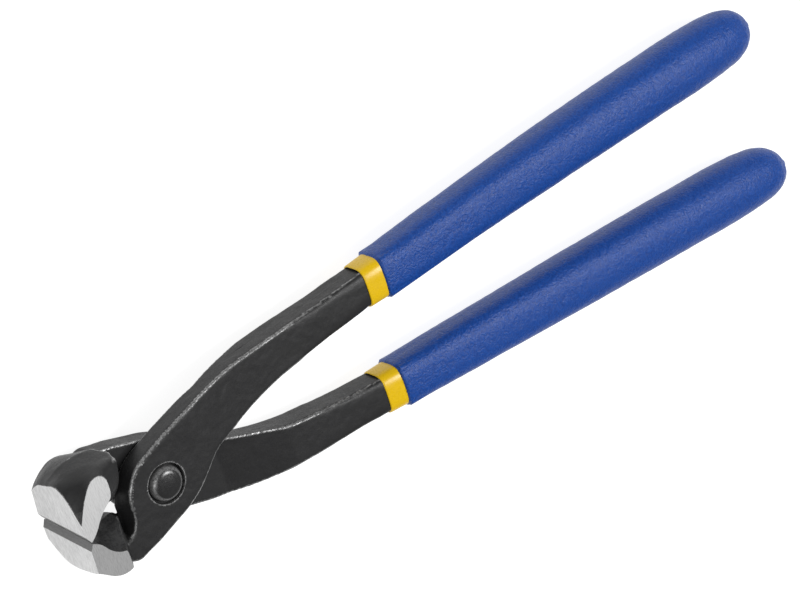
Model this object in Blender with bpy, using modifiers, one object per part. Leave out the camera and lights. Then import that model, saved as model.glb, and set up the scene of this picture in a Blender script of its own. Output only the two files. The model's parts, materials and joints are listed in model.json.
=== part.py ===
"""Tile nippers: two forged levers lapped on a rivet, each handle dipped in two layers of soft plastic.

Every outline is drawn in millimetres about the pivot: X from the jaws to the handles, Y across the
handles, Z along the rivet. Both levers are the same forging; the rear one is turned half a turn about X.
The finished tool lies on its jaws, with the origin under the middle of its length.
"""

import math

import bmesh
import bpy
from mathutils import Matrix, Vector

MM = 0.001

# Driving dimensions, in millimetres.
LENGTH = 225.0
JAW_WIDTH = 22.0
FRONT_X = -25.1  # front faces of the jaws, from the pivot
LAP_FACE_Z = 6.25  # outer faces of the joint
LAP_GAP = 0.3  # between the two halves of the joint
ARM_HALF = 4.1  # half the thickness of an arm
ARM_ROUND = 1.3

# Rivet and its seat.
SHANK_RADIUS = 3.5
BORE_CLEARANCE = 0.15
HEAD_RADIUS = 4.25
HEAD_TOP_Z = 7.5
HEAD_EDGE = 1.3
SEAT_RADIUS = 4.85
SEAT_DEPTH = 1.3
CUT_REACH = 30.0  # how far a cutter runs past the metal

# Handles: a straight axis from the end of the bare arm to the tip of the grip.
AXIS_START = (67.0, 13.8)
HANDLE_END_X = LENGTH + FRONT_X
HANDLE_END_Y = 19.8
TANG_END = 188.0
TANG_WIDTH = (9.6, 7.2)
TANG_TIP = 2.5
SLEEVE = 0.55
FIT_GAP = 0.3
DIP_START = {"front": 66.4, "rear": 62.1}  # where each lower layer begins
BAND = 5.8  # width of lower layer left showing
GRIP_BOW = {"front": 0.85, "rear": 0.1}  # how far each grip bows outward of its straight axis
GRIP_LEAN = {"front": -0.5, "rear": 1.2}  # how far the tip of each grip lies outward of it
GRIP_SIDES = 24
# Sections of a grip: share of its length, half width, half thickness, squareness.
GRIP_SECTIONS = [
    (0.0, 6.4, 5.9, 4.0),
    (0.03, 6.65, 6.1, 3.6),
    (0.1, 6.9, 6.2, 3.1),
    (0.25, 7.2, 6.3, 2.7),
    (0.45, 7.65, 6.55, 2.4),
    (0.65, 7.85, 6.7, 2.3),
    (0.8, 7.7, 6.6, 2.2),
    (0.9, 7.4, 6.3, 2.1),
    (0.94, 6.8, 5.8, 2.0),
    (0.97, 5.4, 4.6, 2.0),
    (0.987, 3.6, 3.1, 2.0),
    (0.994, 1.9, 1.7, 2.0),
    (1.0, 0.8, 0.8, 2.0),
]

PIVOT = Vector((-FRONT_X - LENGTH / 2, 0.0, JAW_WIDTH / 2)) * MM
LEVER_TURN = {"front": 0.0, "rear": math.pi}

# Outlines of the front lever. Its handle is on the +Y side and its jaw on the -Y side.
OUTER_EDGE = [
    (-4.2, 8.3),
    (-1.3, 9.5),
    (2.3, 10.8),
    (6.4, 12.1),
    (10.8, 13.4),
    (15.3, 14.5),
    (24.0, 15.8),
    (31.0, 16.4),
    (42.0, 17.0),
    (54.0, 17.6),
]
INNER_EDGE = [
    (54.0, 8.25),
    (45.0, 7.25),
    (35.6, 5.75),
    (25.6, 2.9),
    (20.5, 1.3),
    (15.2, -0.4),
    (12.2, -2.7),
    (9.2, -5.3),
    (6.3, -7.3),
    (2.7, -9.0),
    (-1.4, -10.4),
]
NECK_EDGE = [(-8.9, -12.7), (-14.0, -13.2)]
BOSS_EDGE = [
    (-13.8, -7.4),
    (-11.6, -5.9),
    (-10.5, -3.4),
    (-10.3, -0.6),
    (-9.8, 2.0),
    (-8.5, 4.5),
    (-6.6, 6.8),
]
# The jaw in seven outlines across its width, each from the cutting edge round the outside and back
# inside. The middle one stands proud, since the forging dies part there, and both sides are ground.
JAW_EDGE = [(-24.2, -0.15), (-25.1, -1.7), (-25.0, -6.2)]
JAW_OUTLINES = {
    -11.0: [(-24.6, -6.9), (-23.7, -8.1), (-22.4, -9.8), (-20.9, -11.8), (-19.5, -13.2), (-17.9, -13.7)]
    + [(-16.6, -13.4), (-15.7, -12.3), (-15.4, -10.8), (-15.4, -9.6), (-15.6, -8.3), (-16.0, -7.3)]
    + [(-16.8, -6.6), (-18.6, -5.4), (-20.3, -3.9)],
    -8.0: [(-25.0, -9.0), (-24.8, -10.9), (-23.2, -12.6), (-21.5, -13.6), (-19.5, -14.2), (-17.2, -14.3)]
    + [(-14.6, -14.1), (-12.0, -13.8), (-10.6, -13.2), (-10.6, -10.9), (-12.4, -7.0), (-14.6, -6.3)]
    + [(-16.4, -5.8), (-18.2, -4.9), (-20.1, -3.6)],
    -5.5: [(-25.0, -9.6), (-24.8, -11.9), (-23.3, -13.2), (-21.5, -14.2), (-19.5, -14.7), (-17.0, -14.7)]
    + [(-14.5, -14.4), (-11.8, -14.0), (-9.9, -13.4), (-9.9, -11.0), (-12.2, -6.0), (-14.4, -5.0)]
    + [(-16.3, -4.6), (-18.2, -4.0), (-20.1, -3.2)],
    0.0: [(-25.0, -9.6), (-24.8, -11.9), (-23.4, -13.2), (-21.6, -14.2), (-19.5, -15.0), (-17.0, -15.1)]
    + [(-14.5, -14.8), (-11.5, -14.2), (-8.4, -13.5), (-9.0, -11.4), (-12.2, -4.2), (-14.3, -2.9)]
    + [(-16.2, -2.8), (-18.2, -3.0), (-20.1, -2.9)],
    5.5: [(-25.0, -9.0), (-24.8, -10.9), (-23.3, -12.2), (-21.5, -13.4), (-19.5, -14.3), (-17.0, -14.3)]
    + [(-14.5, -13.6), (-11.8, -12.9), (-9.9, -12.2), (-9.9, -10.6), (-12.2, -6.2), (-14.4, -5.4)]
    + [(-16.3, -4.8), (-18.2, -4.0), (-20.1, -3.2)],
    8.0: [(-25.0, -8.4), (-24.7, -9.8), (-23.1, -11.2), (-21.4, -12.4), (-19.5, -13.2), (-17.2, -13.2)]
    + [(-14.6, -12.3), (-12.4, -11.7), (-11.0, -11.2), (-11.2, -10.0), (-12.8, -7.2), (-14.8, -6.6)]
    + [(-16.5, -5.9), (-18.2, -4.9), (-20.1, -3.6)],
    11.0: [(-24.6, -6.8), (-23.7, -8.0), (-22.4, -9.5), (-20.9, -11.0), (-19.5, -11.7), (-18.3, -11.9)]
    + [(-17.4, -11.4), (-16.8, -10.6), (-16.6, -9.7), (-16.6, -8.9), (-16.8, -8.0), (-16.9, -7.3)]
    + [(-17.2, -6.6), (-18.6, -5.4), (-20.3, -3.9)],
}
JAW_INSIDE = [(-22.0, -1.9), (-23.3, -0.75)]
SIDE_END_X = -16.6  # back end of the ground side on the joint's half
FLANK_FOOT_X = -9.5  # where the slope behind it meets the face of the joint
# Heights of the blank's two faces along its length: x, far face, near face. Behind the pivot the arm
# crosses from its own half of the joint to the middle.
FACES = [
    (-30.0, -1.15, LAP_FACE_Z),
    (11.5, -1.15, LAP_FACE_Z),
    (17.0, -1.15, 5.45),
    (26.0, -3.5, ARM_HALF),
    (38.0, -ARM_HALF, ARM_HALF),
    (400.0, -ARM_HALF, ARM_HALF),
]
# The cut that leaves the flat of the joint and runs out along the arm: x, height.
LAP_CUT = [(-40.0, LAP_GAP / 2), (17.0, LAP_GAP / 2), (26.0, -2.2), (38.0, -4.6)]


def new_collection(name):
    collection = bpy.data.collections.new(name)
    bpy.context.scene.collection.children.link(collection)
    return collection


def material(name, colour, roughness, metallic=0.0):
    made = bpy.data.materials.new(name)
    made.use_nodes = True
    shader = made.node_tree.nodes["Principled BSDF"]
    shader.inputs["Base Color"].default_value = (*colour, 1.0)
    shader.inputs["Roughness"].default_value = roughness
    shader.inputs["Metallic"].default_value = metallic
    made.diffuse_color = (*colour, 1.0)
    return made


def mesh_object(name, mesh, collection):
    made = bpy.data.objects.new(name, mesh)
    collection.objects.link(made)
    return made


def helper(made):
    """Marks a cutter or an operand, which is not a piece of the tool."""
    made.hide_render = True
    made.display_type = "WIRE"
    return made


def evaluated_mesh(source):
    """The object's mesh with its modifiers applied, closed and facing out."""
    graph = bpy.context.evaluated_depsgraph_get()
    mesh = bpy.data.meshes.new_from_object(source.evaluated_get(graph))
    work = bmesh.new()
    work.from_mesh(mesh)
    bmesh.ops.remove_doubles(work, verts=work.verts, dist=1e-6)
    bmesh.ops.recalc_face_normals(work, faces=work.faces)
    work.to_mesh(mesh)
    work.free()
    return mesh


def plate(name, outline, low, high, collection, rounding=0.0, corners=()):
    """A flat plate with a smooth outline, from z = low to z = high, its rims rounded all along.

    Points in corners stay sharp; the curve is smooth through all others.
    """
    curve = bpy.data.curves.new(name, "CURVE")
    curve.dimensions = "2D"
    curve.fill_mode = "BOTH"
    curve.resolution_u = 3
    curve.extrude = ((high - low) / 2 - rounding) * MM
    curve.bevel_depth = rounding * MM
    curve.bevel_resolution = 1
    curve.offset = -rounding * MM
    spline = curve.splines.new("BEZIER")
    spline.use_cyclic_u = True
    spline.bezier_points.add(len(outline) - 1)
    for point, (x, y) in zip(spline.bezier_points, outline):
        point.co = (x * MM, y * MM, 0.0)
        kind = "VECTOR" if (x, y) in corners else "AUTO"
        point.handle_left_type = point.handle_right_type = kind
    drawn = mesh_object(name, curve, collection)
    bpy.context.view_layer.update()
    mesh = evaluated_mesh(drawn)
    mesh.transform(Matrix.Translation((0, 0, (low + high) / 2 * MM)))
    bpy.data.objects.remove(drawn)
    return mesh_object(name, mesh, collection)


def box(name, size, place, turn, collection):
    """A box of the given size, turned by the matrix turn and centred on place."""
    work = bmesh.new()
    bmesh.ops.create_cube(work, size=1.0)
    bmesh.ops.transform(work, matrix=Matrix.Diagonal((*size, 1.0)), verts=work.verts)
    bmesh.ops.transform(work, matrix=turn.to_4x4(), verts=work.verts)
    bmesh.ops.translate(work, vec=place, verts=work.verts)
    return helper(closed_object(name, work, collection))


def skin(work, rings):
    """Joins rings of points into one closed skin, with a cap at each end."""
    for low, high in zip(rings, rings[1:]):
        for i in range(len(low)):
            j = (i + 1) % len(low)
            work.faces.new((low[i], low[j], high[j], high[i]))
    work.faces.new(rings[0])
    work.faces.new(rings[-1])


def closed_object(name, work, collection):
    """An object from points in millimetres, its faces turned outward."""
    bmesh.ops.recalc_face_normals(work, faces=work.faces)
    bmesh.ops.scale(work, vec=(MM, MM, MM), verts=work.verts)
    mesh = bpy.data.meshes.new(name)
    work.to_mesh(mesh)
    work.free()
    return mesh_object(name, mesh, collection)


def plane_cut(name, point, normal, collection, reach=60.0):
    """A box that removes everything in front of the plane through point."""
    normal = Vector(normal).normalized()
    turn = normal.to_track_quat("Z", "Y").to_matrix()
    return box(name, (reach,) * 3, Vector(point) + normal * reach / 2, turn, collection)


def turned(name, profile, collection, steps=48):
    """A solid of revolution about Z from (radius, z) points that run down its outer side."""
    line = bpy.data.meshes.new(name)
    points = [(radius * MM, 0.0, z * MM) for radius, z in profile]
    line.from_pydata(points, [(i, i + 1) for i in range(len(points) - 1)], [])
    drawn = mesh_object(name, line, collection)
    screw = drawn.modifiers.new("Turn", "SCREW")
    screw.steps = screw.render_steps = steps
    screw.use_merge_vertices = True
    screw.merge_threshold = 1e-5
    mesh = evaluated_mesh(drawn)
    bpy.data.objects.remove(drawn)
    return mesh_object(name, mesh, collection)


def combine(target, other, operation):
    boolean = target.modifiers.new(f"{operation.title()} {other.name}", "BOOLEAN")
    boolean.operation = operation
    boolean.object = other


def power(value, exponent):
    return math.copysign(abs(value) ** exponent, value)


def handle_point(x):
    """The handle's axis and the tang's width at x."""
    along = (x - AXIS_START[0]) / (HANDLE_END_X - AXIS_START[0])
    y = AXIS_START[1] + along * (HANDLE_END_Y - AXIS_START[1])
    share = (x - AXIS_START[0]) / (TANG_END - AXIS_START[0])
    return y, TANG_WIDTH[0] + share * (TANG_WIDTH[1] - TANG_WIDTH[0])


def tang_outline():
    """The arm's continuation under the plastic, from the end of the bare arm round its tip and back."""
    upper, lower = [], []
    for x, inset in ((AXIS_START[0], 0.0), (TANG_END - TANG_TIP, 0.0), (TANG_END, TANG_TIP)):
        y, width = handle_point(x)
        upper.append((x, y + width / 2 - inset))
        lower.append((x, y - width / 2 + inset))
    return upper + lower[::-1]


def bar(name, start, end, growth, collection):
    """The tang's shape grown on every side: the room inside a dipped layer, or the layer's outside."""
    work = bmesh.new()
    bmesh.ops.create_cube(work, size=2.0)
    for corner in work.verts:
        x = end + growth if corner.co.x > 0 else start
        y, width = handle_point(x)
        half = Vector((width / 2 + growth, ARM_HALF + growth))
        corner.co = Vector((x, y + half.x * corner.co.y, half.y * corner.co.z))
    made = helper(closed_object(name, work, collection))
    bevel = made.modifiers.new("Round", "BEVEL")
    bevel.width = (ARM_ROUND + growth) * MM
    bevel.segments = 3
    bevel.limit_method = "NONE"
    return made


def jaw_block(collection):
    """The jaw: ground flat in front and at the sides, its forged back sloping down from a middle ridge."""
    work = bmesh.new()
    rings = []
    for z, outline in JAW_OUTLINES.items():
        points = JAW_EDGE + outline + JAW_INSIDE
        rings.append([work.verts.new((x, y, z)) for x, y in points])
    skin(work, rings)
    made = helper(closed_object("jaw_block", work, collection))
    side_z = JAW_WIDTH / 2
    slope = (side_z - LAP_FACE_Z + 0.15, 0.0, FLANK_FOOT_X - SIDE_END_X)
    flank = plane_cut("jaw_flank", (SIDE_END_X, 0.0, side_z), slope, collection)
    combine(made, flank, "DIFFERENCE")
    return made


def face_heights(x):
    """The far and near faces of the lever at x."""
    for (x0, *low), (x1, *high) in zip(FACES, FACES[1:]):
        if x <= x1:
            share = (x - x0) / (x1 - x0)
            return [a + share * (b - a) for a, b in zip(low, high)]


def set_faces(blank):
    """Moves the blank's two faces to their heights, after cutting its mesh wherever the slope changes."""
    work = bmesh.new()
    work.from_mesh(blank.data)
    for x, _, _ in FACES[1:-1]:
        geometry = work.verts[:] + work.edges[:] + work.faces[:]
        bmesh.ops.bisect_plane(
            work, geom=geometry, dist=1e-7, plane_co=(x * MM, 0, 0), plane_no=(1, 0, 0)
        )
    for vertex in work.verts:
        far, near = face_heights(vertex.co.x / MM)
        share = (vertex.co.z / MM + ARM_HALF) / (2 * ARM_HALF)
        vertex.co.z = (far + share * (near - far)) * MM
    work.to_mesh(blank.data)
    work.free()


def lever_mesh(collection):
    """One forging: arm and tang, half of the joint, and the jaw."""
    tang = tang_outline()
    outline = OUTER_EDGE + tang + INNER_EDGE + NECK_EDGE + [(-17.0, -9.0)] + BOSS_EDGE
    lever = plate("lever", outline, -ARM_HALF, ARM_HALF, collection, ARM_ROUND, tang)
    set_faces(lever)
    cut = LAP_CUT + [(LAP_CUT[-1][0], -CUT_REACH), (LAP_CUT[0][0], -CUT_REACH)]
    room = plate("lap_room", cut, -CUT_REACH, CUT_REACH, collection, 0.0, cut)
    room.data.transform(Matrix.Rotation(math.radians(90), 4, "X"))
    combine(lever, helper(room), "DIFFERENCE")
    combine(lever, jaw_block(collection), "UNION")
    bore_radius = SHANK_RADIUS + BORE_CLEARANCE
    seat_z = LAP_FACE_Z - SEAT_DEPTH
    bore = [(0, CUT_REACH), (SEAT_RADIUS, CUT_REACH), (SEAT_RADIUS, seat_z), (bore_radius, seat_z)]
    bore += [(bore_radius, -CUT_REACH), (0, -CUT_REACH)]
    combine(lever, helper(turned("bore", bore, collection)), "DIFFERENCE")
    mesh = evaluated_mesh(lever)
    bpy.data.objects.remove(lever)
    return mesh


def rivet(collection):
    """The pin with a low button head at each end, seated in the spot faces."""
    seat_z = LAP_FACE_Z - SEAT_DEPTH + FIT_GAP / 2
    upper = [(0.0, HEAD_TOP_Z)]
    for step in range(5):
        angle = math.radians(90 * step / 4)
        radius = HEAD_RADIUS - HEAD_EDGE + HEAD_EDGE * math.sin(angle)
        upper.append((radius, HEAD_TOP_Z - HEAD_EDGE + HEAD_EDGE * math.cos(angle)))
    upper += [(HEAD_RADIUS, seat_z), (SHANK_RADIUS, seat_z)]
    lower = [(radius, -z) for radius, z in reversed(upper)]
    return turned("pivot_rivet", upper + lower, collection)


def grip_outside(side, start, collection):
    """The blue layer's outside: square where it leaves the arm, oval in the hand, with a blunt end."""
    work = bmesh.new()
    rings = []
    length = HANDLE_END_X - start
    for share, half_width, half_depth, squareness in GRIP_SECTIONS:
        x = start + share * length
        bow = GRIP_BOW[side] * math.sin(math.pi * min(1.0, share + 0.06))
        y = handle_point(x)[0] + bow + GRIP_LEAN[side] * share**2
        ring = []
        for step in range(GRIP_SIDES):
            angle = 2 * math.pi * step / GRIP_SIDES
            across = power(math.cos(angle), 2 / squareness) * half_width
            up = power(math.sin(angle), 2 / squareness) * half_depth
            ring.append(work.verts.new((x, y + across, up)))
        rings.append(ring)
    skin(work, rings)
    return helper(closed_object(f"{side}_grip_outside", work, collection))


def sock(name, outside, room, collection):
    """A layer of plastic: its outside shape with the room for what it covers cut out."""
    combine(outside, room, "DIFFERENCE")
    made = mesh_object(name, evaluated_mesh(outside), collection)
    bpy.data.objects.remove(outside)
    return made


def dipped_layers(side, tool, cutters):
    """The thin lower layer, which shows as a band, and the thick grip over it."""
    start = DIP_START[side]
    band_end = start + BAND
    reach = CUT_REACH
    outer = SLEEVE + FIT_GAP
    sleeve_outside = bar(f"{side}_sleeve_outside", start, TANG_END, outer, cutters)
    sleeve_room = bar(f"{side}_sleeve_room", start - reach, TANG_END, FIT_GAP, cutters)
    sleeve = sock(f"{side}_inner_sleeve", sleeve_outside, sleeve_room, tool)
    grip_room = bar(f"{side}_grip_room", band_end - reach, TANG_END, outer + FIT_GAP, cutters)
    outside = grip_outside(side, band_end, cutters)
    grip = sock(f"{side}_grip", outside, grip_room, tool)
    return sleeve, grip


def place(made, side, finish):
    """Sets a piece on the pivot, turned with its lever."""
    made.location = PIVOT
    made.rotation_euler = (LEVER_TURN[side], 0.0, 0.0)
    made.data.materials.clear()
    made.data.materials.append(finish)
    if made.type == "MESH":
        made.data.shade_smooth()
        made.data.set_sharp_from_angle(angle=math.radians(35))


def main():
    for old in list(bpy.data.objects):
        bpy.data.objects.remove(old)
    tool = new_collection("tile_nippers")
    cutters = new_collection("cutters")
    black = material("black_oxide_steel", (0.035, 0.035, 0.037), 0.5, 0.6)
    steel = material("rivet_steel", (0.045, 0.045, 0.048), 0.35, 0.7)
    yellow = material("yellow_plastic", (0.86, 0.62, 0.02), 0.3)
    blue = material("blue_plastic", (0.03, 0.1, 0.42), 0.55)

    forging = lever_mesh(cutters)
    for side in ("front", "rear"):
        place(mesh_object(f"{side}_lever", forging.copy(), tool), side, black)
        sleeve, grip = dipped_layers(side, tool, cutters)
        place(sleeve, side, yellow)
        place(grip, side, blue)
    place(rivet(tool), "front", steel)


main()
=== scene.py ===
"""Looks of the nippers: the forged, ground and blackened levers, the rivet and the dipped handles.

Shapes are drawn in millimetres about the pivot, as a lever lies with its handle on the +Y side and its
jaw on the -Y side: X from the jaws to the handles, Z along the rivet. The rear lever is turned half a
turn about X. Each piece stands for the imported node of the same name.
"""

import json
import math

import bmesh
import bpy
import numpy as np
from mathutils import Matrix, Vector, noise


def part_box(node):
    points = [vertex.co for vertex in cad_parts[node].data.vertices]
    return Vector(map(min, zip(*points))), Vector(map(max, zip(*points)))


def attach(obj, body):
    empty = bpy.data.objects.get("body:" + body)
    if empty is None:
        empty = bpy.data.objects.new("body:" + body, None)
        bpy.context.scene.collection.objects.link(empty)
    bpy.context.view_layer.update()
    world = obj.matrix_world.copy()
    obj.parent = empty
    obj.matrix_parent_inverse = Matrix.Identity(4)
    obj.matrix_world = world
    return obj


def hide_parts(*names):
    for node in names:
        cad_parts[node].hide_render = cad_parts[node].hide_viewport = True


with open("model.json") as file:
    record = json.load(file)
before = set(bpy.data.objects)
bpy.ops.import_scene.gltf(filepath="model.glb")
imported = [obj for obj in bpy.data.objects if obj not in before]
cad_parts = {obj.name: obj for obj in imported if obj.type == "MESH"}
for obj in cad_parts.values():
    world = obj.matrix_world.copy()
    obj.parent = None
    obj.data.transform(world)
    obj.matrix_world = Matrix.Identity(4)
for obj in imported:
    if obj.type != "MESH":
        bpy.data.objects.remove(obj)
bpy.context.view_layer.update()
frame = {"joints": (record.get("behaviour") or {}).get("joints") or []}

MM = 0.001
PIVOT = Vector(frame["joints"][0]["pos_m"])
TURN = {"front": 0.0, "rear": math.pi}  # of each lever about X

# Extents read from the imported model, about the pivot.
rivet_box = [(corner - PIVOT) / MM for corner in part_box("pivot_rivet")]
grip_box = {side: [(corner - PIVOT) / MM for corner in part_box(f"{side}_grip")] for side in TURN}
sleeve_box = {side: [(c - PIVOT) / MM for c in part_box(f"{side}_inner_sleeve")] for side in TURN}
lever_box = [(corner - PIVOT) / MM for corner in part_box("front_lever")]
HEAD_RADIUS = rivet_box[1].x  # of the rivet
HEAD_TOP = rivet_box[1].z
FRONT_X = lever_box[0].x  # front faces of the jaws
SIDE_Z = lever_box[1].z  # half the jaws' width
TANG_END = lever_box[1].x  # end of the steel inside the grip
TIP_X = grip_box["front"][1].x  # end of the handles
DIP_START = {side: sleeve_box[side][0].x for side in TURN}
GRIP_START = {side: grip_box[side][0].x for side in TURN}

# The forging.
VOXEL = 0.25  # size of its mesh
SOFTENING = 6  # smoothing passes that round its edges
LAP_FACE_Z = 6.25  # outer face of each half of the joint
LAP_GAP = 0.3  # between the two halves
ARM_HALF = 4.1  # half the arm's thickness
ARM_ROUND = 0.8  # rounding of its edges
AXIS_START = (67.0, 13.8)  # where the straight handle begins
HANDLE_END_Y = 19.8  # where its axis ends, at the tip
TANG_WIDTH = (9.9, 7.4)  # at the start of the axis and at the tang's end
COVERED_X = 72.0  # the arm stops here, under the plastic
TANG_SQUARE = 3.7  # squareness of the tang's section
SQUARENESS = [(34.0, 30.0), (46.0, 9.0), (AXIS_START[0], TANG_SQUARE)]  # of the arm, along it
SHANK_RADIUS = 3.5  # of the rivet
SHANK_ROOM = 3.65  # radius of the hole round it
SEAT_RADIUS = 5.0  # of the counterbore round the rivet's head
SEAT_Z = 4.95  # height of its floor
SEAT_EASE = 0.15  # bevel at its foot, and the head's gap over its floor
CUT_REACH = 30.0  # cutters go this far past the steel
FORGE_WAVES = [(7.0, 0.10), (2.2, 0.05), (0.9, 0.02)]  # size and depth of the forging's unevenness

# The outline of a lever's arm and boss, from behind the boss round the handle and back to the boss.
OUTER_EDGE = [(-4.2, 8.3), (-1.3, 9.5), (2.3, 10.8), (6.4, 12.1), (10.8, 13.4), (15.3, 14.5)]
OUTER_EDGE += [(24.0, 15.8), (31.0, 16.4), (42.0, 17.0), (54.0, 17.6)]
INNER_EDGE = [(54.0, 8.15), (45.0, 7.15), (35.6, 5.7), (25.6, 2.9), (20.5, 1.3), (15.2, -0.4)]
INNER_EDGE += [(12.2, -2.7), (9.2, -5.3), (6.3, -7.3), (2.7, -9.0), (-1.4, -10.4)]
NECK_EDGE = [(-8.9, -12.7), (-14.0, -13.2), (-17.0, -9.0)]
BOSS_EDGE = [(-13.8, -7.4), (-11.6, -5.9), (-10.5, -3.4), (-10.3, -0.6), (-9.8, 2.0), (-8.5, 4.5)]
BOSS_EDGE += [(-6.6, 6.8)]
BOSS_SWELL = 1.5  # how far the boss's wall stands out towards the jaws, below its rim
BOSS_SWELL_Y = -1.5  # middle of that swelling
BOSS_SWELL_SPAN = 3.6  # its half width
BOSS_RIM = (0.52, 0.92)  # it dies away between these shares of the wall's height
# Heights of the far and near faces along the lever.
FACES = [(-30.0, -1.15, LAP_FACE_Z), (11.5, -1.15, LAP_FACE_Z), (17.0, -1.15, 5.45)]
FACES += [(26.0, -3.5, ARM_HALF), (38.0, -ARM_HALF, ARM_HALF), (400.0, -ARM_HALF, ARM_HALF)]
LAP_CUT = [(-40.0, LAP_GAP / 2), (17.0, LAP_GAP / 2), (26.0, -2.2), (38.0, -4.6)]

# The jaw before grinding, in outlines across its width: its forged back from the front over the crown
# to the neck, then the hollow back to the cutting edge.
JAW_BACKS = {
    -11.0: [(-24.1, -6.9), (-22.9, -9.0), (-21.2, -11.4), (-19.6, -13.1), (-17.9, -13.7)]
    + [(-16.6, -13.4), (-15.7, -12.3), (-15.4, -10.8), (-15.4, -9.6), (-15.6, -8.3), (-16.0, -7.3)]
    + [(-16.8, -6.6), (-18.6, -5.4), (-20.3, -3.9)],
    -8.0: [(-23.9, -12.2), (-22.9, -12.9), (-21.5, -13.6), (-19.5, -14.2), (-17.2, -14.3)]
    + [(-14.6, -14.1), (-12.0, -13.8), (-10.6, -13.2), (-10.6, -10.9), (-12.4, -7.0), (-14.6, -6.3)]
    + [(-16.4, -5.8), (-18.2, -4.9), (-20.1, -3.6)],
    -5.5: [(-24.3, -13.7), (-23.2, -14.0), (-21.5, -14.4), (-19.5, -14.8), (-17.0, -14.8)]
    + [(-14.5, -14.4), (-11.8, -14.0), (-9.9, -13.4), (-10.2, -10.9), (-12.6, -4.3), (-14.4, -3.7)]
    + [(-16.3, -3.9), (-18.2, -3.4), (-20.1, -3.0)],
    0.0: [(-24.3, -13.6), (-23.3, -14.1), (-21.6, -14.9), (-19.5, -15.4), (-17.0, -15.5)]
    + [(-14.5, -15.3), (-11.5, -14.6), (-8.4, -13.6), (-9.2, -11.2), (-12.5, -2.1), (-14.3, -2.0)]
    + [(-16.2, -2.4), (-18.2, -2.2), (-20.1, -2.4)],
    5.5: [(-24.3, -12.2), (-23.2, -12.9), (-21.5, -13.7), (-19.5, -14.3), (-17.0, -14.3)]
    + [(-14.5, -13.6), (-11.8, -12.9), (-9.9, -12.2), (-10.2, -10.5), (-12.6, -4.5), (-14.4, -4.3)]
    + [(-16.3, -4.0), (-18.2, -3.4), (-20.1, -3.0)],
    8.0: [(-24.2, -10.6), (-23.1, -11.5), (-21.4, -12.6), (-19.5, -13.5), (-17.4, -13.6)]
    + [(-14.6, -12.8), (-12.4, -11.7), (-11.0, -11.2), (-11.2, -10.0), (-12.8, -7.2), (-14.8, -6.6)]
    + [(-16.5, -5.9), (-18.2, -4.9), (-20.1, -3.6)],
    11.0: [(-24.3, -9.0), (-23.1, -10.5), (-21.5, -11.8), (-19.8, -12.8), (-17.9, -13.3)]
    + [(-16.8, -12.8), (-16.1, -11.7), (-16.0, -10.2), (-16.1, -8.9), (-16.2, -8.0), (-16.5, -7.3)]
    + [(-17.2, -7.0), (-18.7, -6.4), (-20.3, -4.7)],
}
# How high the ground front reaches at each of those outlines; the two jaws are ground a little apart.
FRONT_ARCH = {
    "front": {-11.0: 5.0, -8.0: 7.7, -5.5: 9.2, 0.0: 10.0, 5.5: 9.3, 8.0: 8.7, 11.0: 8.0},
    "rear": {-11.0: 5.0, -8.0: 11.1, -5.5: 13.0, 0.0: 12.7, 5.5: 11.2, 8.0: 9.6, 11.0: 7.6},
}
BACK_SHARE = {"front": 0.915, "rear": 1.0}  # the lower jaw's back is a little lower
BACK_FROM_Y = -7.0  # the back is the part of an outline beyond this
# How steeply the lower jaw's back falls away behind its front face, at each outline.
BACK_RAKE = {-11.0: 2.4, -8.0: 2.0, -5.5: 1.55, 0.0: 1.1, 5.5: 0.7, 8.0: 0.75, 11.0: 0.9}
OWN_SIDE_TAPER = {"front": 0.14, "rear": 0.25}  # slope of the ground side on the joint's half
# Each outline ends on these points, out past the cutting edge into the stock.
JAW_HOLLOW = [(-22.0, -1.9), (-23.3, -0.75), (-24.2, -0.15), (-25.6, 0.8)]
FRONT_STOCK = 1.3  # metal in front of the finished front face, ground off
SIDE_STOCK = 1.3  # the same beyond each of its sides
JAW_ROWS = 81  # rings in the unground jaw's skin
JAW_POINTS = 150  # points in each ring
EDGE_X = -24.2  # the cutting edge
GROOVE = (FRONT_X, 1.7)  # where the bevel behind it meets the front face
SIDE_END = (-16.5, 9.9)  # x and height of the back end of the ground side on the joint's half
FLANK_FOOT_X = -14.6  # where the slope behind it meets the face of the joint
HOLLOW_END = (-13.0, -8.0)  # x and y that bound the hollow between the jaws
BOSS_START_X = -8.0  # the boss's wall lies in front of this
LAP_START_X = -9.5  # the joint's flat starts here and stays smooth
WEAR_BEND = (0.42, 0.67)  # bend of the surface where the blacking starts to go, and where it is gone
HOLLOW_WEAR_AND_SHEEN = (0.15, 0.1)  # share of that wear kept inside the hollow, and the least there, a painted sheen that lightens the whole hollow

# The rivet's head.
DOME_FLAT = 2.1  # radius of the nearly flat middle of its dome
DOME_DROP = 0.15  # fall of the dome out to there
RIM_DROP = 1.6  # fall of the rolled rim from there to its side
BURNISH_START = 3.3  # radius at which the rim starts to be burnished

# Order of the finishes on a lever.
BLACK, FRONT, SIDE, BEVEL = range(4)

# Places of the sockets on a Mix node for colours, whose names repeat for each kind of data.
MIX_SHARE, MIX_FIRST, MIX_SECOND, MIX_COLOUR = 0, 6, 7, 2


# ---------------------------------------------------------------- materials


def node(tree, kind, values=None, **settings):
    """Adds a node. Each value is a plain value for its socket, or another node's output to join to it."""
    made = tree.nodes.new(kind)
    for name, value in settings.items():
        setattr(made, name, value)
    for socket, value in (values or {}).items():
        if isinstance(value, bpy.types.NodeSocket):
            tree.links.new(value, made.inputs[socket])
        else:
            made.inputs[socket].default_value = value
    return made


def finish(name, values):
    """A Principled material with these fixed values on its shader, then its node tree and the shader."""
    made = bpy.data.materials.new(name)
    made.use_nodes = True
    shader = made.node_tree.nodes["Principled BSDF"]
    for socket, value in values.items():
        shader.inputs[socket].default_value = value
    return made, made.node_tree, shader


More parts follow.
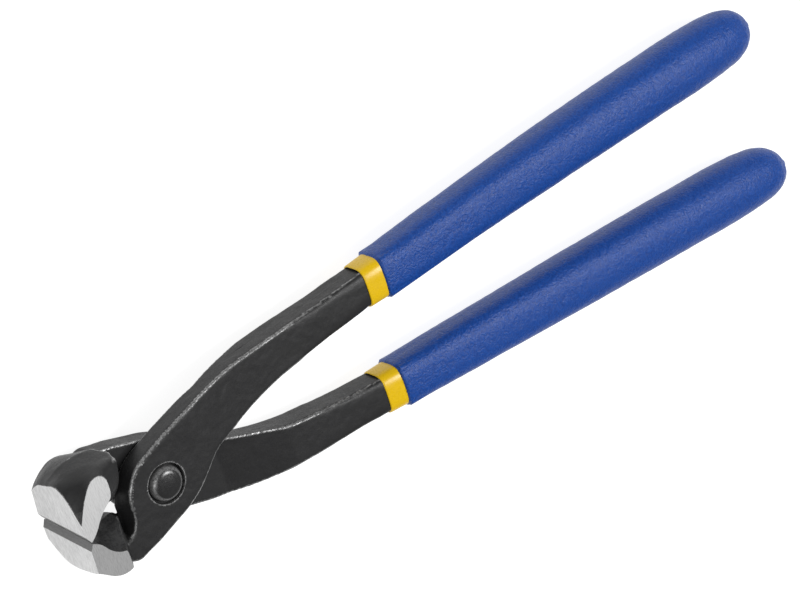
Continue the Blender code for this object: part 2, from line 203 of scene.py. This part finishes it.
def grain(tree, size, detail=2.0, stretch=(1.0, 1.0, 1.0)):
    """A noise in the piece's own space, with features about size millimetres across."""
    spot = node(tree, "ShaderNodeTexCoord").outputs["Object"]
    scaled = node(tree, "ShaderNodeMapping", {"Vector": spot, "Scale": stretch}).outputs["Vector"]
    values = {"Vector": scaled, "Scale": 1 / (size * MM), "Detail": detail, "Roughness": 0.6}
    return node(tree, "ShaderNodeTexNoise", values).outputs["Fac"]


def spread(tree, value, low, high, start, end):
    """Maps low..high of a value onto start..end."""
    sockets = {"Value": value, "From Min": low, "From Max": high, "To Min": start, "To Max": end}
    return node(tree, "ShaderNodeMapRange", sockets).outputs["Result"]


def times(tree, one, other):
    """The product of two values or outputs."""
    made = node(tree, "ShaderNodeMath", operation="MULTIPLY")
    for socket, value in zip(made.inputs, (one, other)):
        if isinstance(value, bpy.types.NodeSocket):
            tree.links.new(value, socket)
        else:
            socket.default_value = value
    return made.outputs["Value"]


def blend_colours(tree, share, first, second):
    """A colour that goes from first to second; either may be a plain colour or an output."""
    made = node(tree, "ShaderNodeMix", data_type="RGBA")
    tree.links.new(share, made.inputs[MIX_SHARE])
    for socket, colour in ((MIX_FIRST, first), (MIX_SECOND, second)):
        if isinstance(colour, bpy.types.NodeSocket):
            tree.links.new(colour, made.inputs[socket])
        else:
            made.inputs[socket].default_value = (*colour, 1.0)
    return made.outputs[MIX_COLOUR]


def bump(tree, shader, layers):
    """Stacks bumps on the shader; each layer is a height, a strength and a depth in millimetres."""
    under = None
    for height, strength, depth in layers:
        values = {"Height": height, "Strength": strength, "Distance": depth * MM}
        if under:
            values["Normal"] = under
        under = node(tree, "ShaderNodeBump", values).outputs["Normal"]
    tree.links.new(under, shader.inputs["Normal"])


def black_oxide(name, base, roughness, gloss=0.25, grit=1.0):
    """Blackened forging: satin, finely grained, rubbed bright along its edges, and lightened over the jaws'
    hollow as a painted sheen.
    """
    made, tree, shader = finish(name, {"Specular IOR Level": gloss})
    tone = grain(tree, 3.0, 3.0)
    worn_and_sheen = node(tree, "ShaderNodeAttribute", attribute_name="wear_and_sheen").outputs["Fac"]
    patches = spread(tree, grain(tree, 0.5, 3.0), 0.38, 0.55, 0.25, 1.0)
    rubbed_and_sheen = times(tree, worn_and_sheen, patches)
    dark = blend_colours(tree, tone, [c * 0.8 for c in base], [c * 1.25 for c in base])
    colour = blend_colours(tree, rubbed_and_sheen, dark, (0.34, 0.34, 0.34))
    tree.links.new(colour, shader.inputs["Base Color"])
    tree.links.new(times(tree, rubbed_and_sheen, 0.8), shader.inputs["Metallic"])
    rough = spread(tree, grain(tree, 0.35, 2.0), 0.3, 0.7, roughness - 0.08, roughness + 0.1)
    tree.links.new(rough, shader.inputs["Roughness"])
    fine = (grain(tree, 0.28, 2.0), 0.4 * grit, 0.035)
    coarse = (grain(tree, 1.6, 2.0), 0.5 * grit, 0.09)
    bump(tree, shader, [fine, coarse])
    return made


def ground_steel(name, light, dark, roughness, stretch):
    """Bright steel with the fine parallel lines of a grinding wheel."""
    made, tree, shader = finish(name, {"Metallic": 0.75})
    lines = grain(tree, 0.26, 2.0, stretch)
    clouds = grain(tree, 4.0, 2.0)
    share = spread(tree, lines, 0.3, 0.7, 0.0, 1.0)
    streaked = blend_colours(tree, share, dark, light)
    colour = blend_colours(tree, spread(tree, clouds, 0.3, 0.7, 0.0, 0.25), streaked, light)
    tree.links.new(colour, shader.inputs["Base Color"])
    rough = spread(tree, lines, 0.3, 0.7, roughness + 0.06, roughness - 0.06)
    tree.links.new(rough, shader.inputs["Roughness"])
    bump(tree, shader, [(lines, 0.4, 0.012)])
    return made


def dipped_plastic(name, low, high, roughness, layers):
    """Soft vinyl from a dipping tank, its tone drifting a little."""
    made, tree, shader = finish(name, {"Specular IOR Level": 0.34})
    tone = spread(tree, grain(tree, 0.5, 2.0), 0.38, 0.62, 0.0, 1.0)
    tree.links.new(blend_colours(tree, tone, low, high), shader.inputs["Base Color"])
    rough = spread(tree, grain(tree, 0.8, 2.0), 0.3, 0.7, roughness - 0.06, roughness + 0.06)
    tree.links.new(rough, shader.inputs["Roughness"])
    bump(tree, shader, [(grain(tree, size, 2.0), strength, depth) for size, strength, depth in layers])
    return made


def floor_white():
    """Pale studio table, bright enough to read as white."""
    made, tree, shader = finish("floor_white", {"Roughness": 0.9, "Specular IOR Level": 0.0})
    tone = spread(tree, grain(tree, 60.0, 1.0), 0.3, 0.7, 0.0, 1.0)
    colour = blend_colours(tree, tone, (0.28, 0.28, 0.28), (0.3, 0.3, 0.3))
    tree.links.new(colour, shader.inputs["Base Color"])
    shader.inputs["Emission Color"].default_value = (1.0, 1.0, 1.0, 1.0)
    shader.inputs["Emission Strength"].default_value = 0.9
    return made


# ---------------------------------------------------------------- mesh tools


def add_object(name, data):
    """Puts a mesh, curve, light or camera in the scene."""
    made = bpy.data.objects.new(name, data)
    bpy.context.scene.collection.objects.link(made)
    return made


def evaluated(source):
    """The object's mesh with its modifiers applied; the object itself is removed."""
    bpy.context.view_layer.update()
    graph = bpy.context.evaluated_depsgraph_get()
    mesh = bpy.data.meshes.new_from_object(source.evaluated_get(graph))
    bpy.data.objects.remove(source)
    return mesh


def edited(mesh, change):
    """Runs change on the mesh's bmesh and writes it back."""
    work = bmesh.new()
    work.from_mesh(mesh)
    change(work)
    work.to_mesh(mesh)
    work.free()
    return mesh


def close_up(work):
    """Joins the corners that meet and turns every face outward."""
    bmesh.ops.remove_doubles(work, verts=work.verts, dist=1e-6)
    bmesh.ops.recalc_face_normals(work, faces=work.faces)


def points_of(mesh):
    """The mesh's points, in millimetres."""
    found = np.empty(len(mesh.vertices) * 3, np.float32)
    mesh.vertices.foreach_get("co", found)
    return found.reshape(-1, 3) / MM


def normals_of(mesh):
    found = np.empty(len(mesh.vertices) * 3, np.float32)
    mesh.vertices.foreach_get("normal", found)
    return found.reshape(-1, 3)


def set_points(mesh, points):
    mesh.vertices.foreach_set("co", (points * MM).astype(np.float32).ravel())
    mesh.update()


def plate(name, outline, low, high, rounding=0.0, corners=(), steps=10, rim=5):
    """A flat plate with a smooth outline, from z = low to z = high, its rims rounded all along."""
    curve = bpy.data.curves.new(name, "CURVE")
    curve.dimensions = "2D"
    curve.fill_mode = "BOTH"
    curve.resolution_u = steps
    curve.extrude = ((high - low) / 2 - rounding) * MM
    curve.bevel_depth = rounding * MM
    curve.bevel_resolution = rim
    curve.offset = -rounding * MM
    spline = curve.splines.new("BEZIER")
    spline.use_cyclic_u = True
    spline.bezier_points.add(len(outline) - 1)
    for point, (x, y) in zip(spline.bezier_points, outline):
        point.co = (x * MM, y * MM, 0.0)
        kind = "VECTOR" if (x, y) in corners else "AUTO"
        point.handle_left_type = point.handle_right_type = kind
    mesh = edited(evaluated(add_object(name, curve)), close_up)
    mesh.transform(Matrix.Translation((0, 0, (low + high) / 2 * MM)))
    return mesh


def skin(name, rings):
    """A closed skin over rings of points in millimetres, each with the same number of points."""
    count = len(rings)
    sides = len(rings[0])
    points = np.concatenate(rings) * MM
    column = np.arange(sides)
    after = (column + 1) % sides
    faces = []
    for row in range(count - 1):
        low, high = row * sides, (row + 1) * sides
        faces.append(np.stack([low + column, low + after, high + after, high + column], axis=1))
    faces = np.concatenate(faces).tolist()
    faces += [column[::-1].tolist(), (column + (count - 1) * sides).tolist()]
    mesh = bpy.data.meshes.new(name)
    mesh.from_pydata(points.tolist(), [], faces)
    return edited(mesh, lambda work: bmesh.ops.recalc_face_normals(work, faces=work.faces))


def turned(name, profile, steps=96):
    """A solid of revolution about Z from (radius, z) points that run down its outer side."""
    line = bpy.data.meshes.new(name)
    points = [(radius * MM, 0.0, z * MM) for radius, z in profile]
    line.from_pydata(points, [(i, i + 1) for i in range(len(points) - 1)], [])
    drawn = add_object(name, line)
    screw = drawn.modifiers.new("Turn", "SCREW")
    screw.steps = screw.render_steps = steps
    screw.use_merge_vertices = True
    screw.merge_threshold = 1e-5
    return edited(evaluated(drawn), close_up)


def cut_away(mesh, cutter):
    """The mesh less the cutter's volume."""
    target = add_object("target", mesh)
    tool = add_object("tool", cutter)
    boolean = target.modifiers.new("Cut", "BOOLEAN")
    boolean.operation = "DIFFERENCE"
    boolean.solver = "MANIFOLD"
    boolean.object = tool
    made = evaluated(target)
    bpy.data.objects.remove(tool)
    return made


def slice_through(work, point, normal, clear=False):
    """Cuts every face along a plane, and removes what lies in front of it if clear is set."""
    geometry = work.verts[:] + work.edges[:] + work.faces[:]
    place = Vector(point) * MM
    return bmesh.ops.bisect_plane(
        work, geom=geometry, dist=1e-8, plane_co=place, plane_no=Vector(normal), clear_outer=clear
    )


def grind(work, point, normal, finish_index):
    """Grinds the solid flat: removes what lies in front of a plane and gives the new face its finish."""
    cut = slice_through(work, point, normal, clear=True)
    rim = [edge for edge in cut["geom_cut"] if isinstance(edge, bmesh.types.BMEdge)]
    rim = [edge for edge in rim if edge.is_valid and edge.is_boundary]
    filled = bmesh.ops.holes_fill(work, edges=rim, sides=0)["faces"]
    for face in filled:
        face.material_index = finish_index


def through(keys, values, at):
    """Smooth interpolation of points between the keys, and on in a straight line outside them."""
    values = np.array(values, float)
    keys = np.array(keys, float)
    slopes = np.gradient(values, keys, axis=0)
    i = int(np.clip(np.searchsorted(keys, at) - 1, 0, len(keys) - 2))
    span = keys[i + 1] - keys[i]
    t = (at - keys[i]) / span
    if t < 0 or t > 1:
        near = i if t < 0 else i + 1
        return values[near] + slopes[near] * (at - keys[near])
    h00, h10 = (1 + 2 * t) * (1 - t) ** 2, t * (1 - t) ** 2
    h01, h11 = t * t * (3 - 2 * t), t * t * (t - 1)
    return h00 * values[i] + h10 * span * slopes[i] + h01 * values[i + 1] + h11 * span * slopes[i + 1]


# ---------------------------------------------------------------- levers


def tang_half_width(x):
    share = (x - AXIS_START[0]) / (TANG_END - AXIS_START[0])
    return (TANG_WIDTH[0] + share * (TANG_WIDTH[1] - TANG_WIDTH[0])) / 2


def axis_y(x):
    """The handle's straight axis at x."""
    along = (x - AXIS_START[0]) / (TIP_X - AXIS_START[0])
    return AXIS_START[1] + along * (HANDLE_END_Y - AXIS_START[1])


def face_heights(x):
    """The far and near faces of the blank at each x."""
    keys = [row[0] for row in FACES]
    far = np.interp(x, keys, [row[1] for row in FACES])
    near = np.interp(x, keys, [row[2] for row in FACES])
    return far, near


def edge_y(x, edge, way):
    """The arm's edge at each x, through these points and on to the tang; way is 1 for the outer edge."""
    keys = [point[0] for point in edge] + [AXIS_START[0]]
    values = [point[1] for point in edge] + [AXIS_START[1] + way * TANG_WIDTH[0] / 2]
    return np.interp(x, keys, values)


def round_off(points):
    """Draws the arm's section in from a box towards an oval, more and more as it nears the handle."""
    x = points[:, 0]
    top = edge_y(x, OUTER_EDGE[-4:], 1)
    low = edge_y(x, INNER_EDGE[3::-1], -1)
    middle, half = (top + low) / 2, (top - low) / 2
    middle = np.where(x > AXIS_START[0], axis_y(x), middle)
    half = np.where(x > AXIS_START[0], tang_half_width(x), half)
    across = np.abs(points[:, 1] - middle) / half
    up = np.abs(points[:, 2]) / ARM_HALF
    square = np.interp(x, [row[0] for row in SQUARENESS], [row[1] for row in SQUARENESS])
    norm = (across**square + up**square) ** (1 / square)
    scale = np.where(x > SQUARENESS[0][0], 1 / np.maximum(norm, 1.0), 1.0)
    points[:, 1] = middle + (points[:, 1] - middle) * scale
    points[:, 2] *= scale
    return points


def arm_mesh():
    """The arm, the joint's boss and the start of the neck, its faces stepping across behind the pivot."""
    far_x = COVERED_X + 4
    top = [(x, axis_y(x) + tang_half_width(x)) for x in (AXIS_START[0], far_x)]
    under = [(x, axis_y(x) - tang_half_width(x)) for x in (far_x, AXIS_START[0])]
    outline = OUTER_EDGE + top + under + INNER_EDGE + NECK_EDGE + BOSS_EDGE
    mesh = plate("arm", outline, -ARM_HALF, ARM_HALF, ARM_ROUND, (top[1], under[0]))

    def slice_up(work):
        """Gives the flat faces rows of points to move."""
        for x in np.arange(10.0, COVERED_X + 3, 1.0):
            slice_through(work, (x, 0, 0), (1, 0, 0))
        for y in np.arange(5.0, 20.0, 0.8):
            slice_through(work, (0, y, 0), (0, 1, 0))

    edited(mesh, slice_up)
    points = points_of(mesh)
    ease = np.mean([face_heights(points[:, 0] + shift) for shift in (-2.0, -1.0, 0.0, 1.0, 2.0)], axis=0)
    share = (points[:, 2] + ARM_HALF) / (2 * ARM_HALF)
    x, y = points[:, 0], points[:, 1]
    swell = BOSS_SWELL * np.exp(-(((y - BOSS_SWELL_Y) / BOSS_SWELL_SPAN) ** 2))
    swell *= np.clip((BOSS_RIM[1] - share) / (BOSS_RIM[1] - BOSS_RIM[0]), 0, 1)
    points[:, 0] = x - swell * np.clip((BOSS_START_X - x) / 1.5, 0, 1)
    points[:, 2] = ease[0] + share * (ease[1] - ease[0])
    set_points(mesh, round_off(points))
    return mesh


def jaw_outline(side, z):
    """The unground jaw's outline at one of the drawn heights."""
    arch = FRONT_ARCH[side][z]
    stock_x = FRONT_X - FRONT_STOCK
    front = [(stock_x, 0.6), (stock_x, -3.0), (stock_x, 3.2 - arch), (stock_x + 0.5, 1.3 - arch)]
    front.append((FRONT_X, -arch))
    back = [(x, y * BACK_SHARE[side] if y < BACK_FROM_Y else y) for x, y in JAW_BACKS[z]]
    if side == "front":
        back = [(x, max(y, -arch - BACK_RAKE[z] * (x - FRONT_X))) for x, y in back]
    return front + back + JAW_HOLLOW


def round_ring(corners, count):
    """A closed smooth ring through the corners, with count points evenly along it."""
    corners = np.array(corners, float)
    closed = np.vstack([corners[-2:], corners, corners[:3]])
    step = np.linalg.norm(np.diff(closed, axis=0), axis=1) ** 0.5
    keys = np.concatenate([[0], np.cumsum(step)])
    inner = np.linspace(keys[2], keys[2 + len(corners)], count, endpoint=False)
    return np.array([through(keys, closed, at) for at in inner])


def jaw_mesh(side):
    """The unground jaw: a skin over its outlines, creased at mid width where the forging dies part."""
    heights = sorted(JAW_BACKS)
    outlines = [jaw_outline(side, z) for z in heights]
    reach = SIDE_Z + SIDE_STOCK
    rings = []
    middle = heights.index(0.0)
    for z in np.linspace(-reach, reach, JAW_ROWS):
        half = slice(0, middle + 1) if z < 0 else slice(middle, None)
        corners = through(heights[half], outlines[half], z)
        ring = round_ring(corners, JAW_POINTS)
        rings.append(np.column_stack([ring, np.full(len(ring), z)]))
    mesh = skin("jaw", rings)
    slope = Vector((SIDE_END[1] - LAP_FACE_Z, 0.0, FLANK_FOOT_X - SIDE_END[0]))
    return edited(mesh, lambda work: grind(work, (SIDE_END[0], 0.0, SIDE_END[1]), slope, BLACK))


def fused(meshes):
    """One skin round several overlapping solids, softened as a forging is."""
    work = bmesh.new()
    for mesh in meshes:
        work.from_mesh(mesh)
    whole = bpy.data.meshes.new("fused")
    work.to_mesh(whole)
    work.free()
    made = add_object("fused", whole)
    remesh = made.modifiers.new("Skin", "REMESH")
    remesh.mode = "VOXEL"
    remesh.voxel_size = VOXEL * MM
    soften = made.modifiers.new("Soften", "SMOOTH")
    soften.factor = 0.5
    soften.iterations = SOFTENING
    return evaluated(made)


def waver(points, size, depth):
    """Small uneven offsets over points in millimetres, with features about size across."""
    return np.array([noise.noise(Vector(p) / size) for p in points]) * depth


def roughen(mesh, layers):
    """Moves the surface in and out a little, as forging and scale leave it."""
    points = points_of(mesh)
    offset = sum(waver(points, size, depth) for size, depth in layers)
    lap = (np.abs(points[:, 2] - LAP_GAP / 2) < 0.2) & (points[:, 0] > LAP_START_X)
    offset[lap] = 0.0
    set_points(mesh, points + normals_of(mesh) * offset[:, None])


def store_wear_and_sheen(mesh, wear_and_sheen):
    """Keeps the share of blacking rubbed off at each point, and the painted sheen in the jaws' hollow, for
    the material to read.
    """
    layer = mesh.attributes.new("wear_and_sheen", "FLOAT", "POINT")
    layer.data.foreach_set("value", wear_and_sheen.astype(np.float32))


def mark_wear_and_sheen(mesh):
    """Stores how convex the surface is at each point, which is where the blacking rubs off, with a painted
    sheen over the hollow between the jaws.
    """
    points = points_of(mesh)
    normals = normals_of(mesh)
    edges = np.empty(len(mesh.edges) * 2, np.int64)
    mesh.edges.foreach_get("vertices", edges)
    a, b = edges.reshape(-1, 2).T
    gap = points[b] - points[a]
    length = np.maximum((gap**2).sum(axis=1), 1e-4)
    bend, count = np.zeros(len(points)), np.zeros(len(points))
    for here, sign in ((a, -1.0), (b, 1.0)):
        bend += np.bincount(here, sign * (gap * normals[here]).sum(axis=1) / length, len(points))
        count += np.bincount(here, minlength=len(points))
    bend = 2 * bend / np.maximum(count, 1)
    for _ in range(2):
        total = np.bincount(a, bend[b], len(points)) + np.bincount(b, bend[a], len(points))
        bend = (bend + total / np.maximum(count, 1)) / 2
    wear_and_sheen = np.clip((bend - WEAR_BEND[0]) / (WEAR_BEND[1] - WEAR_BEND[0]), 0.0, 1.0)
    # painted sheen: inside the hollow the edge wear is mostly cut back, but never below a floor that
    # lightens the whole hollow
    hollow = (points[:, 0] < HOLLOW_END[0]) & (points[:, 1] > HOLLOW_END[1])
    wear_and_sheen[hollow] = np.maximum(wear_and_sheen[hollow] * HOLLOW_WEAR_AND_SHEEN[0], HOLLOW_WEAR_AND_SHEEN[1])
    store_wear_and_sheen(mesh, wear_and_sheen)


def lever_mesh(side):
    """One forging, ground: arm, half of the joint, and the jaw."""
    cut = LAP_CUT + [(LAP_CUT[-1][0], -CUT_REACH), (LAP_CUT[0][0], -CUT_REACH)]
    room = plate("lap_room", cut, -CUT_REACH, CUT_REACH, 0.0, cut, 1)
    room.transform(Matrix.Rotation(math.radians(90), 4, "X"))
    mesh = fused([cut_away(arm_mesh(), room), jaw_mesh(side)])
    roughen(mesh, FORGE_WAVES)
    seat = [(0, CUT_REACH), (SEAT_RADIUS, CUT_REACH), (SEAT_RADIUS, SEAT_Z + SEAT_EASE)]
    seat += [(SEAT_RADIUS - SEAT_EASE, SEAT_Z), (SHANK_ROOM, SEAT_Z)]
    seat += [(SHANK_ROOM, -CUT_REACH), (0, -CUT_REACH)]
    mesh = cut_away(mesh, turned("seat", seat))

    def grind_faces(work):
        grind(work, (0, -GROOVE[1], SIDE_Z), (0, -OWN_SIDE_TAPER[side], 1), SIDE)
        grind(work, (0, 0, -SIDE_Z), (0, 0, -1), SIDE)
        grind(work, (FRONT_X, 0, 0), (-1, 0, 0), FRONT)
        bevel = Vector((GROOVE[0] - EDGE_X, -GROOVE[1], 0))
        grind(work, (EDGE_X, -0.15, 0), (bevel.y, -bevel.x, 0), BEVEL)
        grind(work, (COVERED_X, 0, 0), (1, 0, 0), BLACK)

    mesh.materials.clear()
    edited(mesh, grind_faces)
    mark_wear_and_sheen(mesh)
    return mesh


# ---------------------------------------------------------------- pieces


def set_on_pivot(name, mesh, side, finishes):
    """Sets a piece on the pivot, turned with its lever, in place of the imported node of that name."""
    turn = Matrix.Translation(PIVOT) @ Matrix.Rotation(TURN[side], 4, "X")
    mesh.transform(turn)
    for coat in finishes:
        mesh.materials.append(coat)
    mesh.shade_smooth()
    mesh.set_sharp_from_angle(angle=math.radians(30))
    piece = add_object(f"{name}_look", mesh)
    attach(piece, side)
    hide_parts(name)
    return piece


def rivet_mesh():
    """The pin: a low domed head at each end, its rim rolled by the riveting."""
    head = [(0.0, HEAD_TOP), (0.8, HEAD_TOP - 0.01), (1.5, HEAD_TOP - 0.06)]
    for degrees in np.linspace(4, 90, 13):
        angle = math.radians(degrees)
        radius = DOME_FLAT + (HEAD_RADIUS - DOME_FLAT) * math.sin(angle)
        head.append((radius, HEAD_TOP - DOME_DROP - RIM_DROP * (1 - math.cos(angle))))
    foot = SEAT_Z + SEAT_EASE
    head += [(HEAD_RADIUS, SEAT_Z + 0.4), (HEAD_RADIUS - 0.2, foot), (SHANK_RADIUS, foot)]
    mesh = turned("pivot_rivet", head + [(radius, -z) for radius, z in reversed(head)], 128)
    points = points_of(mesh)
    radius = np.hypot(points[:, 0], points[:, 1])
    store_wear_and_sheen(mesh, np.clip((radius - BURNISH_START) / 0.5, 0.0, 0.7))
    return mesh


FIT_GAP = 0.1  # between the lower layer of plastic and the steel
SLEEVE = {"mouth": 0.42, "covered": 0.62}  # how proud of the steel the lower layer stands
POCKET = 0.75  # how far the grip's pocket stands off the steel
BOW = {"front": 0.85, "rear": 0.1}  # how far the grip's middle bows outward
TIP_DROOP = {"front": -0.7, "rear": 0.7}  # both tips hung the same way as they dried
DROOP_START = 0.88  # share of a grip's length where that begins
LEAN = {"front": -0.15, "rear": 1.1}  # how far the tip lies outward of the straight axis
FULLNESS = {"front": 1.0, "rear": 1.025}  # girth near the mouth
# Sections of a grip: share of its length, half width, half thickness, squareness.
GRIP_SECTIONS = [
    (0.0, 5.85, 5.25, 3.3),
    (0.03, 6.02, 5.4, 3.2),
    (0.09, 6.26, 5.58, 3.05),
    (0.21, 6.66, 5.85, 2.82),
    (0.34, 7.08, 6.15, 2.63),
    (0.47, 7.47, 6.48, 2.48),
    (0.6, 7.74, 6.7, 2.39),
    (0.72, 7.93, 6.84, 2.3),
    (0.843, 8.02, 6.85, 2.2),
    (0.905, 7.72, 6.55, 2.12),
    (0.945, 6.95, 5.9, 2.06),
    (0.97, 5.5, 4.7, 2.02),
    (0.985, 3.6, 3.1, 2.0),
    (0.991, 2.05, 1.85, 2.0),
    (0.9935, 1.45, 1.35, 2.0),
    (0.9975, 1.15, 1.1, 2.0),
    (1.0, 0.7, 0.65, 2.0),
]


def oval(x, y, half_width, half_depth, squareness, sides):
    """A ring across the handle, from an ellipse at squareness 2 towards a box."""
    angle = np.arange(sides) * 2 * np.pi / sides
    across = np.sign(np.cos(angle)) * np.abs(np.cos(angle)) ** (2 / squareness) * half_width
    up = np.sign(np.sin(angle)) * np.abs(np.sin(angle)) ** (2 / squareness) * half_depth
    return np.column_stack([np.full(sides, x), y + across, up])


def grip_mesh(side):
    """The thick outer layer: a closed skin down its pocket, round the mouth and out to the tip."""
    start = GRIP_START[side]
    length = TIP_X - start
    sides = 132
    keys = [row[0] for row in GRIP_SECTIONS]
    rings = []
    for x in (TANG_END + 1.0, TANG_END - 1.0, start + 0.6):
        rings.append(oval(x, axis_y(x), tang_half_width(x) + POCKET, ARM_HALF + POCKET, 7.0, sides))
    mouth = [(0.55, 0.0), (0.28, 0.1), (0.08, 0.3)]  # how far in from the outside, and along
    count = 400
    shares = [(inset, along / length) for inset, along in mouth]
    shares += [(0.0, share) for share in np.linspace(0.6 / length, 1.0, count)]
    for inset, share in shares:
        x = start + share * length
        half_width, half_depth, squareness = through(keys, [row[1:] for row in GRIP_SECTIONS], share)
        full = 1 + (FULLNESS[side] - 1) * (1 - share)
        bow = BOW[side] * math.sin(math.pi * min(1.0, share + 0.06))
        droop = TIP_DROOP[side] * max(0.0, (share - DROOP_START) / (1 - DROOP_START)) ** 2
        y = axis_y(x) + bow + LEAN[side] * share**2 + droop
        ring = oval(x, y, half_width * full - inset, half_depth * full - inset, squareness, sides)
        rings.append(ring)
    mesh = skin(f"{side}_grip", rings)
    roughen(mesh, [(14.0, 0.08), (3.0, 0.05), (1.2, 0.035)])
    return mesh


def sleeve_mesh(side):
    """The thin glossy layer below the grip, with a rolled lip where it starts on the arm."""
    start = DIP_START[side]
    sides = 96
    outside = [(start, FIT_GAP), (start + 0.05, 0.28), (start + 0.18, 0.38), (start + 0.4, SLEEVE["mouth"])]
    outside += [(GRIP_START[side], SLEEVE["covered"]), (TANG_END + 0.5, SLEEVE["covered"])]
    rings = []
    for x, growth in [(TANG_END + 0.2, FIT_GAP), *outside]:
        half = tang_half_width(x) + growth
        rings.append(oval(x, axis_y(x), half, ARM_HALF + growth, TANG_SQUARE - 0.2, sides))
    return skin(f"{side}_sleeve", rings)


# ---------------------------------------------------------------- studio


def studio():
    """White table, two soft lights, and the camera high to the left of the jaws, rolled."""
    world = bpy.data.worlds.new("studio")
    bpy.context.scene.world = world
    world.use_nodes = True
    sky = world.node_tree.nodes["Background"]
    sky.inputs["Color"].default_value = (1.0, 1.0, 1.0, 1.0)
    sky.inputs["Strength"].default_value = 0.25

    bpy.ops.mesh.primitive_plane_add(size=16.0, location=(0, 0, -0.0002))
    floor = bpy.context.object
    floor.name = "floor"
    floor.data.materials.append(floor_white())

    right = Vector((0.7576, -0.2874, 0.5861)).normalized()
    up = Vector((0.4774, 0.8562, -0.1973))
    up = (up - right * up.dot(right)).normalized()
    back = right.cross(up)
    lens = bpy.data.cameras.new("camera")
    lens.lens = 135.0
    lens.sensor_width = 36.0
    lens.clip_start = 0.01
    camera = add_object("camera", lens)
    eye = PIVOT + Vector((-0.2447, 0.3148, 0.5678))
    camera.matrix_world = Matrix.Translation(eye) @ Matrix((right, up, back)).transposed().to_4x4()
    bpy.context.scene.camera = camera

    centre = Vector((0.0, 0.0, 0.01))
    for name, toward, distance, size, power in (
        ("key", (0.41, 0.08, 0.91), 1.0, (0.36, 0.36), 8.4),
        ("fill", (-0.6, 0.1, 0.8), 1.3, (0.9, 0.9), 6.5),
    ):
        light = bpy.data.lights.new(name, "AREA")
        light.shape = "RECTANGLE"
        light.size, light.size_y = size
        light.energy = power
        lamp = add_object(name, light)
        direction = Vector(toward).normalized()
        lamp.location = centre + direction * distance
        lamp.rotation_mode = "QUATERNION"
        lamp.rotation_quaternion = direction.to_track_quat("Z", "Y")
    bpy.context.scene.view_settings.view_transform = "Standard"


studio()
black = black_oxide("black_oxide", (0.0155, 0.0155, 0.016), 0.44)
grind_lines = (1.0, 0.15, 1.0)  # the wheel's marks run across the cutting edge
front_steel = ground_steel("front_steel", (0.67, 0.67, 0.67), (0.44, 0.44, 0.44), 0.45, grind_lines)
# painted light and shade: one ground side finish in two copies, darker on the lower jaw and lighter on the
# upper jaw, for how the light falls on each
side_steel_lit_and_shaded = {
    "front": ground_steel("lower_side_steel_painted_shade", (0.62, 0.62, 0.62), (0.4, 0.4, 0.4), 0.45, grind_lines),
    "rear": ground_steel("upper_side_steel_painted_light", (0.7, 0.7, 0.7), (0.46, 0.46, 0.46), 0.45, grind_lines),
}
# painted shade: the ground bevel behind the cutting edge is coloured near black, far darker than the other
# ground faces, for the shade it lies in under the other jaw
bevel_steel_painted_shade = ground_steel("bevel_steel_painted_shade", (0.13, 0.13, 0.13), (0.1, 0.1, 0.1), 0.45, (1.0, 1.0, 0.2))
rivet_black = black_oxide("rivet_black", (0.012, 0.012, 0.0125), 0.26, 0.6, 0.3)
yellow = dipped_plastic("yellow_dip", (0.63, 0.4, 0.002), (0.67, 0.43, 0.003), 0.3, [(6.0, 0.3, 0.1)])
blue = dipped_plastic(
    "blue_dip", (0.0005, 0.034, 0.2), (0.003, 0.054, 0.28), 0.42, [(0.5, 1.0, 0.2), (1.2, 0.7, 0.2)]
)
for side in TURN:
    finishes = [black, front_steel, side_steel_lit_and_shaded[side], bevel_steel_painted_shade]
    lever = set_on_pivot(f"{side}_lever", lever_mesh(side), side, finishes)
    band = set_on_pivot(f"{side}_inner_sleeve", sleeve_mesh(side), side, [yellow])
    grip = set_on_pivot(f"{side}_grip", grip_mesh(side), side, [blue])
pin = set_on_pivot("pivot_rivet", rivet_mesh(), "front", [rivet_black])
